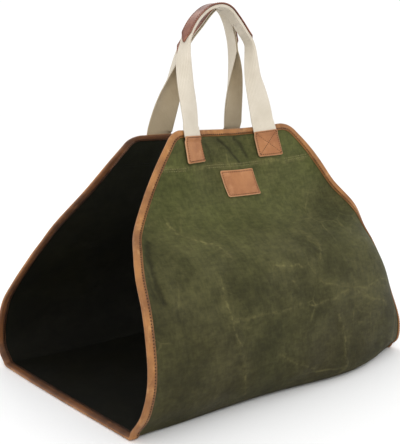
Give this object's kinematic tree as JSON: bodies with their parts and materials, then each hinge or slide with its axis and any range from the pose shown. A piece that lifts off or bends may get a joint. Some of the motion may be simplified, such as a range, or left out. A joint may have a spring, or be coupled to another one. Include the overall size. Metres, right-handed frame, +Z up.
{
  "type": "canvas sling carrier",
  "caption": "Open-ended sling carrier of waxed canvas with leather edging, two webbing handles with leather grips, tabs and a plain label patch.",
  "frame": {"origin": "under the middle of the whole carrier, on the surface it rests on", "axes": "+X along the load from the picture's left open end to its right one, -Y towards the side with the label, +Z up"},
  "size_m": [0.4996, 0.3662, 0.5069],
  "materials": {
    "canvas": "waxed olive cotton canvas, matt",
    "binding_leather": "smooth tan",
    "tan_leather": "smooth tan",
    "webbing": "ribbed natural cotton",
    "grip_leather": "smooth reddish brown"
  },
  "bodies": {
    "root": {"canvas_sheet": "canvas", "edge_binding": "binding_leather", "label_patch": "tan_leather", "front_left_tab": "tan_leather", "front_right_tab": "tan_leather", "back_left_tab": "tan_leather", "back_right_tab": "tan_leather", "front_handle": "webbing", "back_handle": "webbing", "front_grip": "grip_leather", "back_grip": "grip_leather"}
  },
  "joints": []
}
